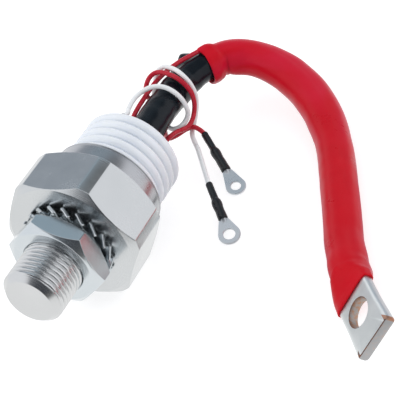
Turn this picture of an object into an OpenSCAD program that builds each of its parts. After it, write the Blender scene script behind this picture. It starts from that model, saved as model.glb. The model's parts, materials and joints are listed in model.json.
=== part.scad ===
// Stud thyristor with a braided main lead and two thin control leads.
// The stud's axis is Y, its tip points to -Y, and the hexagon lies on one flat.
// The origin is the centre of the seating face, and all sizes are in millimetres.

/* [Hexagon and stud] */
// Width of the base hexagon across its flats
hex_af = 41; // [36:0.5:50]
// Thickness of the base hexagon
hex_h = 17; // [12:0.5:24]
// How much the hexagon's corners are turned down across them
corner_cut = 2; // [0:0.1:5]
// How far the flat ring of each end face stays inside the flats
face_inset = 0.2; // [0.1:0.1:1]
// Angle of the turned chamfers on the hexagon
hex_chamfer_angle = 32; // [20:1:40]
// Major diameter of the stud's thread
stud_d = 19.05; // [14:0.05:24]
// Depth from the thread's crest to its pitch line, where the nut grips it
thread_depth = 0.5; // [0.3:0.05:0.9]
// Length of the stud below the seating face
stud_len = 25; // [18:0.5:40]
// Length of the smooth chamfer at the stud's tip
tip_len = 1.9; // [0.5:0.1:4]
// How far the tip's chamfer comes in from the thread's crest
tip_in = 1.9; // [0.5:0.1:4]

/* [Lock washer and nut] */
// Number of twisted teeth round the lock washer
teeth = 19; // [12:1:24]
// Thickness of the lock washer's sheet
washer_t = 1; // [0.8:0.1:2]
// Width of the washer's plain ring
washer_ring_w = 2.2; // [1.6:0.1:4]
// Length of the teeth outside the plain ring
tooth_len = 2.7; // [2:0.1:4]
// Width of one tooth at its tip
tooth_w = 4.3; // [2.5:0.1:4.5]
// Angle that each tooth is twisted to
tooth_twist = 36; // [15:1:45]
// Width of the nut across its flats
nut_af = 27.4; // [24:0.1:36]
// Height of the nut
nut_h = 7.5; // [5:0.1:11]
// Angle that the nut has stopped at, against the base hexagon
nut_turn = 39.6; // [0:0.1:60]
// Angle of the nut's chamfers
nut_chamfer_angle = 35; // [20:1:40]
// Clearance between the stud and what goes over it
stud_clear = 0.15; // [0.05:0.05:0.5]

/* [Metal ring of the housing] */
// Outer diameter of the metal ring behind the hexagon
ring_d = 36; // [33:0.1:40]
// Height of the metal ring
ring_h = 7.4; // [6:0.1:12]
// Bore of the metal ring
ring_bore_d = 26; // [23:0.1:30]
// How far the welded flange's rim stays inside the metal ring
flange_in = 1; // [0.4:0.1:1.6]
// Height of the welded flange under the insulator
flange_t = 0.8; // [0.5:0.1:1.5]

/* [Insulator] */
// Number of ribs round the insulator
ribs = 5; // [2:1:8]
// Distance from one rib to the next
rib_pitch = 3.55; // [3.2:0.05:5]
// Diameter over the ribs
rib_d = 32.6; // [31:0.1:38]
// Radius of the ribs' rounding
rib_round = 1.55; // [1:0.05:1.6]
// Diameter at the bottom of the grooves
groove_d = 28.6; // [27:0.1:30]
// Bore of the insulator
insulator_bore_d = 22; // [17:0.1:25]
// How far the plain end stays inside the grooves
end_in = 0.9; // [0:0.1:1.5]
// Height of the plain end above the last rib
insulator_end_h = 1.4; // [0.8:0.1:4]

/* [Metal cap and tubes] */
// Thickness of the metal cap
cap_t = 1; // [0.6:0.1:2]
// How far the cap's rim stays inside the insulator's end
cap_in = 0.9; // [0.2:0.1:1.6]
// Outer diameter of the tube round the main lead
tube_d = 10; // [7:0.1:12]
// Wall of the tube round the main lead
tube_wall = 0.7; // [0.4:0.1:1]
// Height of that tube above the cap
tube_h = 2.9; // [2:0.1:6]
// Wall of the gate tube
gate_tube_wall = 0.4; // [0.2:0.05:0.6]
// Clearance between the gate tube's bore and the thin lead, across the bore
gate_tube_clear = 0.2; // [0.1:0.05:0.4]
// Height of the gate tube above the cap
gate_tube_h = 4.4; // [3:0.1:6]
// Gap between the gate tube and the insulator's bore
gate_tube_gap = 0.3; // [0.1:0.05:0.8]

/* [Parts inside] */
// Gap between the clamping cup and the insulator's bore
cup_gap = 0.4; // [0.2:0.1:0.8]
// Wall of the clamping cup
cup_wall = 0.7; // [0.5:0.1:0.9]
// How far the cup's foot reaches under the metal ring
foot_grip = 1.5; // [0.5:0.1:2.5]
// Thickness of the cup's foot
cup_foot_t = 1; // [0.6:0.1:1.5]
// Gap between the cup's bore and the pedestal on the copper base
pedestal_gap = 0.4; // [0.2:0.1:1]
// Height of the pedestal
pedestal_h = 2.5; // [1.5:0.1:4]
// How far the molybdenum disc stays inside the pedestal's edge
moly_in = 0.1; // [0:0.1:1]
// Thickness of that disc
moly_t = 1.8; // [1:0.1:3]
// How far the silicon wafer stays inside the molybdenum disc's edge
wafer_in = 0.2; // [0.1:0.1:1]
// Thickness of the silicon wafer
wafer_t = 0.6; // [0.4:0.1:1]
// How far the upper contact disc stays inside the wafer's edge
contact_in = 1.2; // [0.8:0.1:2.5]
// Thickness of the upper contact disc
contact_t = 1.2; // [0.8:0.1:2]
// Thickness of the head of the cathode post
post_head_t = 2.5; // [1.5:0.1:4]
// Diameter of the cathode post's stem
stem_d = 8.4; // [6:0.1:10]
// Thickness of the insulating washer
insulating_t = 1; // [0.6:0.1:2]
// Number of disc springs
springs = 3; // [1:1:4]
// Gap between the disc springs and the cup's bore
spring_gap = 0.3; // [0.1:0.1:0.8]
// Gap between the disc springs and the post's stem
spring_stem_gap = 1.2; // [0.6:0.1:2]
// Thickness of one disc spring
spring_t = 0.9; // [0.6:0.1:1.2]
// Height of one disc spring's cone
spring_cone = 0.5; // [0.2:0.1:0.8]
// Thickness of the cup's lip above the springs
lip_t = 0.8; // [0.6:0.1:1.5]
// Diameter of the gate pin
gate_pin_d = 1.8; // [1.4:0.1:2]
// Wall of the insulating sleeve round the gate pin
gate_sleeve_wall = 0.75; // [0.5:0.05:1.2]
// Diameter of the gate wire inside the housing
inner_wire_d = 1.2; // [0.8:0.1:1.5]

/* [Main lead] */
// Diameter of the black sleeve
black_d = 10.8; // [9:0.1:12]
// Diameter of the red sleeve
red_d = 11.7; // [9:0.1:12]
// Diameter of the lug's barrel
barrel_d = 10; // [8:0.1:11]
// Width of the lug's palm
palm_w = 13.8; // [12:0.1:18]
// Thickness of the lug's palm
palm_t = 3; // [2:0.1:4]
// Distance from the hole's centre to the end of the palm
palm_end = 10.8; // [8:0.1:14]
// Diameter of the hole in the palm
lug_hole_d = 8.4; // [5:0.1:9]
// Distance from the hole's centre to the barrel
palm_back = 10; // [7:0.1:14]
// Length of the barrel with its shoulder
barrel_len = 9; // [7:0.1:14]

/* [Control leads] */
// Diameter of the thin leads
thin_d = 1.6; // [1.2:0.1:2]
// Thickness of the ring terminals' sheet
terminal_t = 0.8; // [0.5:0.1:1.2]
// Outer diameter of the gate ring terminal
gate_ring_d = 7; // [6:0.1:9]
// Hole of the gate ring terminal
gate_hole_d = 3.7; // [3:0.1:4.3]
// Outer diameter of the cathode ring terminal
cathode_ring_d = 6.6; // [6:0.1:9]
// Hole of the cathode ring terminal
cathode_hole_d = 3.2; // [3:0.1:4]
// Width of a terminal's tongue at its barrel
tongue_w = 3; // [2.4:0.1:4]
// Diameter of a terminal's crimped barrel
crimp_d = 2.4; // [2:0.1:3]
// Wall of the shrink sleeves
shrink_wall = 0.3; // [0.2:0.05:0.5]

/* [Hidden] */
$fn = 96;
eps = 0.01;

copper = [0.80, 0.50, 0.35];
nickel = [0.74, 0.75, 0.77];
zinc = [0.70, 0.76, 0.82];
white_glaze = [0.93, 0.94, 0.97];
black = [0.10, 0.11, 0.13];
red = [0.76, 0.10, 0.17];

// Heights along the stud's axis, measured from the seating face
washer_bore_d = stud_d + 2 * stud_clear;
washer_ring_d = washer_bore_d + 2 * washer_ring_w;
tooth_root = 0.6;
tooth_flare = 1.15;
first_tooth = 4.4;
washer_set = tooth_w * sin(tooth_twist) + washer_t * cos(tooth_twist);
nut_seat = -washer_set;
nut_face = nut_seat - nut_h;
pitch_r = stud_d / 2 - thread_depth;
corner_turn_d = hex_af / cos(30) - corner_cut;
ring_top = hex_h + ring_h;
cup_seat = hex_h;
pedestal_top = hex_h + pedestal_h;
wafer_seat = pedestal_top + moly_t;
contact_seat = wafer_seat + wafer_t;
post_seat = contact_seat + contact_t;
post_shoulder = post_seat + post_head_t;
spring_seat = post_shoulder + insulating_t;
lip_seat = spring_seat + springs * spring_t + spring_cone;
cup_top = lip_seat + lip_t;
insulator_top = ring_top + ribs * rib_pitch + insulator_end_h;
cap_top = insulator_top + cap_t;
tube_top = cap_top + tube_h;
gate_tube_top = cap_top + gate_tube_h;
stem_top = cup_top + 5;
side_hole = cup_top + 2.2;

// Diameters that fit inside one another, from the outside in
flange_d = ring_d - 2 * flange_in;
insulator_end_d = groove_d - 2 * end_in;
cap_d = insulator_end_d - 2 * cap_in;
cup_d = insulator_bore_d - 2 * cup_gap;
cup_bore_d = cup_d - 2 * cup_wall;
cup_foot_d = ring_bore_d + 2 * foot_grip;
pedestal_d = cup_bore_d - 2 * pedestal_gap;
moly_d = pedestal_d - 2 * moly_in;
wafer_d = moly_d - 2 * wafer_in;
contact_d = wafer_d - 2 * contact_in;

// The gate tube's place, seen along the stud's axis
gate_angle = 115;
gate_tube_bore_d = thin_d + gate_tube_clear;
gate_tube_d = gate_tube_bore_d + 2 * gate_tube_wall;
gate_tube_out = (insulator_bore_d - gate_tube_d) / 2 - gate_tube_gap;
gate_x = gate_tube_out * cos(gate_angle);
gate_z = gate_tube_out * sin(gate_angle);

// Clearance radii inside the springs and the insulating washer
spring_bore_d = stem_d + 2 * spring_stem_gap;
lip_bore_d = spring_bore_d - 1;
insulating_bore_d = stem_d + 0.4;
pin_bore_d = gate_pin_d + 0.1;
gate_sleeve_d = pin_bore_d + 2 * gate_sleeve_wall;
sleeve_hole_d = gate_sleeve_d + 0.2;

// The lug's place: the centre of its hole, its heading, its dip and its roll
lug_at = [90.6, -1.7, -14.3];
lug_heading = -54;
lug_dip = 1;
lug_roll = 46;
barrel_back = palm_back + barrel_len;
shrink_wide_d = crimp_d + 2 * shrink_wall;
shrink_narrow_d = thin_d + 2 * shrink_wall + 0.1;

// The ring terminals' places, headings and dips
gate_at = [34.8, 28.4, -19];
gate_heading = -51;
gate_dip = 18;
gate_neck = 5.9;
gate_wide = 7.7;
gate_narrow = 6.9;
cathode_at = [27.3, 50.2, -19];
cathode_heading = -44;
cathode_dip = 17;
cathode_neck = 7;
cathode_wide = 9.8;
cathode_narrow = 7.8;

// Routes of the leads, point by point, as they lie
black_route = [[0, 47.5, 0], [0, 54, 0], [-0.5, 61, -0.3], [-0.8, 68, -0.8],
    [-0.8, 75, -1.4], [-0.3, 81.5, -2], [1.2, 87.8, -2.7], [2.6, 90.8, -3.1]];
red_route = [[2.6, 90.8, -3.1], [4.4, 93.4, -3.4], [9.2, 97.8, -4.2],
    [15.2, 100.1, -5.2], [21.8, 100, -6.6], [28, 97.8, -8.3], [34, 94.1, -9.9],
    [39.6, 89.2, -11.3], [44.9, 83.5, -12.5], [49.9, 77, -13.6], [54.5, 70, -14.3],
    [58.5, 62.7, -14.6], [61.9, 55.3, -14.6], [65.1, 47.8, -14.6], [68.4, 40.3, -14.6],
    [71.7, 32.8, -14.6], [74.8, 25.5, -14.6], [77.4, 18.9, -14.3]];
gate_route = [[-4.4, 51.8, 7.7], [-5.8, 54.1, 6.8], [-6.6, 56.5, 6.4],
    [-6.9, 59.1, 6.5], [-6.6, 61.8, 6.6], [-5.4, 63.9, 6.9], [-3.3, 65.3, 7.4],
    [-1, 66.4, 7.2], [1.4, 67.1, 6.3], [3.9, 67.2, 4.7], [5.9, 67.2, 2],
    [6.6, 67.3, -1.2], [6.4, 67.2, -4.2], [5.4, 65.8, -6.3], [4.2, 63.8, -7],
    [2.2, 62.8, -7.3], [-0.8, 64.2, -7.6], [-4.6, 67, -6.5], [-6.9, 69.2, -4.1],
    [-7.3, 71, -1], [-7.6, 73.6, 1.2], [-7.8, 76, 3.2], [-6.8, 77.8, 5.2],
    [-4.4, 78.3, 6.2], [-1.2, 77.3, 6.4], [2.3, 76, 5.9], [4.8, 75.4, 4],
    [6.4, 75, 1.2], [7.2, 74.5, -1.8], [7.1, 73.6, -4.7], [6.7, 71.9, -7.3],
    [6.2, 69.8, -9.4], [5.9, 67.4, -10.8], [6.7, 65.1, -11.4], [8.4, 62.7, -11.4],
    [10.6, 60, -11.2], [13, 57, -10.8]];
cathode_route = [[1.8, 92.1, 3.1], [0.2, 89, 3.5], [-2.2, 84.9, 3.8],
    [-4.2, 80.2, 4], [-5.5, 74.6, 4.1], [-5.6, 69.2, 4.4], [-5.4, 64, 4.5],
    [-5.5, 59.2, 4.1], [-5.7, 54.8, 3], [-6.4, 51.6, -0.5], [-5, 50.4, -4.4],
    [-1.2, 50.4, -6.7], [3, 52, -6.2], [4.9, 54.6, -4.8], [5.6, 58, -5.3],
    [6.2, 61.4, -6.5], [6.7, 64.4, -7.3], [7, 67.4, -7], [6.9, 70, -5.7],
    [7, 71.7, -3.1], [6.8, 72.3, 0.2], [5.4, 72.8, 2.9], [2.9, 73.5, 4.9],
    [-0.3, 74.2, 6.1], [-3.6, 74.6, 6.7], [-6, 74.2, 6.6], [-7.6, 72.5, 5.8],
    [-8.4, 70.5, 4], [-9.1, 70, 0.6], [-8.8, 71.4, -3.8], [-6.5, 70, -7],
    [-4.6, 66.9, -10.4], [-2.1, 63.2, -10.7], [0.6, 61, -9.9], [3.2, 61.7, -9],
    [5.2, 64.9, -9], [7, 66.6, -9.2], [8.9, 66.8, -10.3]];

// Vector helpers
function unit(v) = v / norm(v);
function heading(h, dip) = [cos(dip) * cos(h), cos(dip) * sin(h), -sin(dip)];
function across(v, t) = unit(v - t * (v * t));
lug_dir = heading(lug_heading, lug_dip);
gate_dir = heading(gate_heading, gate_dip);
cathode_dir = heading(cathode_heading, cathode_dip);
gate_start = gate_at - gate_dir * (gate_neck + gate_wide + gate_narrow);
cathode_start = cathode_at - cathode_dir * (cathode_neck + cathode_wide + cathode_narrow);
gate_tube_end = [gate_x, gate_tube_top, gate_z];
lug_start = lug_at - lug_dir * barrel_back;

// Turns a piece drawn upright so that its axis lies along the stud's axis
module along_stud() { rotate([-90, 0, 0]) children(); }

// A ring turned from a rectangle: inner and outer diameter, bottom and top
module ring(inner, outer, bottom, top) {
    rotate_extrude()
        translate([inner / 2, bottom])
            square([(outer - inner) / 2, top - bottom]);
}

// A disc with no bore
module disc(d, bottom, top) {
    translate([0, 0, bottom]) cylinder(d = d, h = top - bottom);
}

// A hexagonal prism whose corners and end faces are turned to cones
module turned_hexagon(af, turn_d, inset, angle, bottom, top) {
    face_r = af / 2 - inset;
    turn_r = min(turn_d / 2, af / 2 / cos(30) + 0.5);
    drop = (turn_r - face_r) * tan(angle);
    intersection() {
        translate([0, 0, bottom])
            cylinder(r = af / 2 / cos(30), h = top - bottom, $fn = 6);
        rotate_extrude()
            polygon([[0, bottom], [face_r, bottom], [turn_r, bottom + drop],
                [turn_r, top - drop], [face_r, top], [0, top]]);
    }
}

// One piece of copper: hexagon, stud and the pedestal for the silicon
module stud_base() {
    color(nickel) along_stud() union() {
        turned_hexagon(hex_af, corner_turn_d, face_inset, hex_chamfer_angle, 0, hex_h);
        rotate_extrude()
            polygon([[0, -stud_len], [stud_d / 2 - tip_in, -stud_len],
                [stud_d / 2, tip_len - stud_len], [stud_d / 2, nut_face], [pitch_r, nut_face],
                [pitch_r, nut_seat], [stud_d / 2, nut_seat], [stud_d / 2, eps], [0, eps]]);
        disc(pedestal_d, hex_h - eps, pedestal_top);
    }
}

// One tooth of the lock washer, flat where it leaves the ring, twisted and wider at its tip
module tooth() {
    rotate([0, 90, 0])
        linear_extrude(height = tooth_len + tooth_root, twist = tooth_twist,
            scale = [1, tooth_flare], slices = 6, $fn = 4)
            square([washer_t, tooth_w / tooth_flare], center = true);
}

// Flat spring ring with teeth twisted out of its plane
module lock_washer() {
    mid = -washer_set / 2;
    color(zinc) along_stud() translate([0, 0, mid]) union() {
        ring(washer_bore_d, washer_ring_d, -washer_t / 2, washer_t / 2);
        for (i = [0 : teeth - 1])
            rotate([0, 0, first_tooth + i * 360 / teeth])
                translate([washer_ring_d / 2 - tooth_root, 0, 0]) tooth();
    }
}

// Nut with both faces chamfered, and a bore that is countersunk at both ends
module hex_nut() {
    bore_r = pitch_r + 0.04;
    sink = thread_depth + stud_clear + 0.2;
    color(zinc) along_stud() rotate([0, 0, -nut_turn]) difference() {
        turned_hexagon(nut_af, nut_af * 1.2, 0.8, nut_chamfer_angle, nut_face, nut_seat);
        rotate_extrude()
            polygon([[0, nut_face - 1], [bore_r + sink + 1, nut_face - 1], [bore_r, nut_face + sink],
                [bore_r, nut_seat - sink], [bore_r + sink + 1, nut_seat + 1], [0, nut_seat + 1]]);
    }
}

// Metal ring that closes the housing and traps the cup's foot
module housing_ring() {
    color(nickel) along_stud() difference() {
        ring(ring_bore_d, ring_d, hex_h, ring_top);
        disc(cup_foot_d, hex_h - 1, hex_h + cup_foot_t);
        disc(flange_d, ring_top - flange_t, ring_top + 1);
    }
}

// Thin metal flange between the ring and the insulator
module weld_flange() {
    color(nickel) along_stud()
        ring(insulator_bore_d, flange_d, ring_top - flange_t, ring_top);
}

// White ceramic tube with rounded ribs
module insulator() {
    rib_x = rib_d / 2 - rib_round;
    end_r = insulator_end_d / 2;
    color(white_glaze) along_stud() rotate_extrude() difference() {
        union() {
            translate([0, ring_top])
                square([groove_d / 2, ribs * rib_pitch]);
            translate([0, ring_top])
                square([end_r, insulator_top - ring_top]);
            for (i = [0 : ribs - 1])
                translate([0, ring_top + (i + 0.5) * rib_pitch]) {
                    translate([rib_x, 0]) circle(r = rib_round);
                    translate([0, -rib_round]) square([rib_x, 2 * rib_round]);
                }
        }
        translate([-1, ring_top - 1])
            square([1 + insulator_bore_d / 2, insulator_top - ring_top + 2]);
    }
}

// Cap on the insulator, with holes for the two tubes
module metal_cap() {
    color(nickel) along_stud() difference() {
        disc(cap_d, insulator_top, cap_top);
        disc(tube_d, insulator_top - 1, cap_top + 1);
        translate([gate_x, -gate_z, 0])
            disc(gate_tube_d, insulator_top - 1, cap_top + 1);
    }
}

// Crimped tube round the main lead
module lead_tube() {
    color(nickel) along_stud()
        ring(tube_d - 2 * tube_wall, tube_d, insulator_top, tube_top);
}

// Narrow tube that the gate lead comes out of
module gate_tube() {
    color(nickel) along_stud() translate([gate_x, -gate_z, 0])
        ring(gate_tube_bore_d, gate_tube_d, insulator_top, gate_tube_top);
}

// Cup that presses the springs down, with its foot under the housing ring
module clamp_cup() {
    color(zinc) along_stud() union() {
        ring(cup_bore_d, cup_d, cup_seat, cup_top);
        ring(cup_bore_d, cup_foot_d, cup_seat, cup_seat + cup_foot_t);
        ring(lip_bore_d, cup_d, lip_seat, cup_top);
    }
}

module molybdenum_disc() {
    color("slategray") along_stud() disc(moly_d, pedestal_top, wafer_seat);
}

// Silicon wafer with a ground bevel round its edge
module silicon_wafer() {
    color("dimgray") along_stud() translate([0, 0, wafer_seat])
        cylinder(d1 = wafer_d, d2 = wafer_d - 2 * wafer_t, h = wafer_t);
}

module contact_disc() {
    color("slategray") along_stud()
        ring(sleeve_hole_d, contact_d, contact_seat, post_seat);
}

// Copper post: a head on the contact disc and a stem up to the braid
module cathode_post() {
    color(copper) along_stud() difference() {
        union() {
            disc(contact_d, post_seat, post_shoulder);
            disc(stem_d, post_shoulder - eps, stem_top);
        }
        disc(sleeve_hole_d, post_seat - 1, side_hole);
        translate([0, 0, side_hole - 1])
            rotate([0, 90, -gate_angle])
                cylinder(d = inner_wire_d + 0.6, h = stem_d);
    }
}

module insulating_washer() {
    color("burlywood") along_stud()
        ring(insulating_bore_d, cup_bore_d - 0.4, post_shoulder, spring_seat);
}

// One coned spring of the stack, number 0 at the bottom
module disc_spring(i) {
    outer_r = cup_bore_d / 2 - spring_gap;
    low = spring_seat + i * spring_t;
    color("gray") along_stud() rotate_extrude()
        polygon([[outer_r, low], [outer_r, low + spring_t],
            [spring_bore_d / 2, low + spring_t + spring_cone],
            [spring_bore_d / 2, low + spring_cone]]);
}

module gate_pin() {
    color("silver") along_stud() disc(gate_pin_d, contact_seat, post_shoulder);
}

module gate_pin_sleeve() {
    color("ivory") along_stud()
        ring(pin_bore_d, gate_sleeve_d, contact_seat, post_shoulder);
}

// Wire from the gate pin through the post's side hole to the gate tube
module inner_gate_wire() {
    turn = side_hole - 1;
    out = [gate_x, 0, gate_z] / gate_tube_out;
    route = [[0, post_shoulder, 0], [0, turn - 1.2, 0], [0, turn - 0.35, 0] + 0.35 * out,
        [0, turn, 0] + 1.2 * out, [0, turn, 0] + (gate_tube_out - 1.2) * out,
        [0, turn + 0.35, 0] + (gate_tube_out - 0.35) * out,
        [0, turn + 1.2, 0] + gate_tube_out * out, [gate_x, gate_tube_top, gate_z]];
    color("silver") swept(route, inner_wire_d, 8, [0, 1, 0], [0, 1, 0]);
}

// Copper braid from the post up through the lead's tube
module inner_braid() {
    color(copper) along_stud() disc(tube_d - 2 * tube_wall, stem_top, tube_top);
}

// A round tube that follows a route; first and last are the end faces' directions
module swept(route, d, sides, first, last) {
    n = len(route);
    dirs = [for (i = [0 : n - 1])
        i == 0 ? unit(first) : i == n - 1 ? unit(last) : unit(route[i + 1] - route[i - 1])];
    start = across(abs(dirs[0][2]) > 0.9 ? [1, 0, 0] : [0, 0, 1], dirs[0]);
    ups = [for (i = 0, u = start; i < n; i = i + 1, u = i < n ? across(u, dirs[i]) : u) u];
    points = [for (i = [0 : n - 1], k = [0 : sides - 1])
        route[i] + d / 2 * (cos((k + 0.5) * 360 / sides) * ups[i]
            + sin((k + 0.5) * 360 / sides) * cross(dirs[i], ups[i]))];
    walls = [for (i = [0 : n - 2], k = [0 : sides - 1], half = [0, 1])
        let (a = i * sides + k, b = i * sides + (k + 1) % sides)
            half == 0 ? [a, b, b + sides] : [a, b + sides, a + sides]];
    polyhedron(points, concat(
        [[for (k = [sides - 1 : -1 : 0]) k]],
        walls,
        [[for (k = [0 : sides - 1]) (n - 1) * sides + k]]));
}

// Black sleeve over the braid, from the lead's tube to the red sleeve
module black_sleeve() {
    color(black) swept(black_route, black_d, 12, [0, 1, 0],
        red_route[1] - black_route[len(black_route) - 2]);
}

// Red sleeve over the braid, from the black sleeve to the lug
module red_sleeve() {
    color(red) swept(concat(red_route, [lug_start]), red_d, 12,
        red_route[1] - black_route[len(black_route) - 2], lug_dir);
}

// Lug of flattened tube: barrel, shoulder and palm with one hole
module cable_lug() {
    color(nickel) translate(lug_at) rotate([0, lug_dip, lug_heading]) rotate([lug_roll, 0, 0])
        difference() {
            union() {
                translate([-barrel_back, 0, 0]) rotate([0, 90, 0])
                    cylinder(d = barrel_d, h = barrel_len - 4);
                hull() {
                    translate([-palm_back - 4 - eps, 0, 0]) rotate([0, 90, 0])
                        cylinder(d = barrel_d, h = 0.1, $fn = 32);
                    translate([-palm_back, -palm_w / 2, -palm_t / 2])
                        cube([0.1, palm_w, palm_t]);
                }
                translate([-palm_back, -palm_w / 2, -palm_t / 2])
                    cube([palm_back + palm_end, palm_w, palm_t]);
            }
            translate([0, 0, -palm_t]) cylinder(d = lug_hole_d, h = 2 * palm_t);
        }
}

// White gate lead, wound round the black sleeve
module gate_lead() {
    color(white_glaze) swept(concat([gate_tube_end], gate_route, [gate_start]), thin_d, 8,
        [0, 1, 0], gate_dir);
}

// Thin red cathode lead, wound round the black sleeve beside the gate lead
module cathode_lead() {
    color(red) swept(concat(cathode_route, [cathode_start]), thin_d, 8,
        cathode_route[1] - cathode_route[0], cathode_dir);
}

// Places a piece drawn along X, nose forward, at a ring terminal
module at_terminal(at, h, dip) {
    translate(at) rotate([0, dip, h]) children();
}

// Shrink sleeve in two steps: wide over the barrel, narrow over the lead
module shrink(neck, wide, narrow) {
    translate([-neck - wide - narrow, 0, 0]) rotate([0, 90, 0]) difference() {
        union() {
            cylinder(d = shrink_narrow_d, h = narrow);
            translate([0, 0, narrow - 0.5])
                cylinder(d1 = shrink_narrow_d, d2 = shrink_wide_d, h = 0.6);
            translate([0, 0, narrow + 0.1])
                cylinder(d = shrink_wide_d, h = wide - 0.1);
        }
        translate([0, 0, narrow]) cylinder(d = crimp_d, h = wide + 1);
    }
}

module gate_shrink() {
    color(black) at_terminal(gate_at, gate_heading, gate_dip)
        shrink(gate_neck, gate_wide, gate_narrow);
}

module cathode_shrink() {
    color(black) at_terminal(cathode_at, cathode_heading, cathode_dip)
        shrink(cathode_neck, cathode_wide, cathode_narrow);
}

// Crimped ring terminal: ring, tapering tongue and barrel
module ring_terminal(ring_od, hole_d, neck, wide) {
    r = ring_od / 2;
    half = tongue_w / 2;
    reach = norm([neck, half]);
    touch = 180 - atan2(half, neck) - acos(r / reach);
    difference() {
        union() {
            translate([0, 0, -terminal_t / 2]) cylinder(r = r, h = terminal_t);
            translate([0, 0, -terminal_t / 2]) linear_extrude(terminal_t)
                polygon([[-neck, -half], [r * cos(touch), -r * sin(touch)],
                    [r * cos(touch), r * sin(touch)], [-neck, half]]);
            translate([-neck - wide, 0, 0]) rotate([0, 90, 0])
                cylinder(d = crimp_d, h = wide);
            translate([-neck - 1, -tongue_w / 2 + 0.6, -terminal_t / 2])
                cube([1 + eps, tongue_w - 1.2, terminal_t]);
        }
        translate([0, 0, -terminal_t]) cylinder(d = hole_d, h = 2 * terminal_t);
    }
}

module gate_terminal() {
    color(nickel) at_terminal(gate_at, gate_heading, gate_dip)
        ring_terminal(gate_ring_d, gate_hole_d, gate_neck, gate_wide);
}

module cathode_terminal() {
    color(nickel) at_terminal(cathode_at, cathode_heading, cathode_dip)
        ring_terminal(cathode_ring_d, cathode_hole_d, cathode_neck, cathode_wide);
}

stud_base();
lock_washer();
hex_nut();
housing_ring();
weld_flange();
insulator();
metal_cap();
lead_tube();
gate_tube();
clamp_cup();
molybdenum_disc();
silicon_wafer();
contact_disc();
cathode_post();
insulating_washer();
disc_spring(0);  // disc_spring_1
disc_spring(1);  // disc_spring_2
disc_spring(2);  // disc_spring_3
gate_pin();
gate_pin_sleeve();
inner_gate_wire();
inner_braid();
black_sleeve();
red_sleeve();
cable_lug();
gate_lead();
cathode_lead();
gate_shrink();
cathode_shrink();
gate_terminal();
cathode_terminal();
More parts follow.
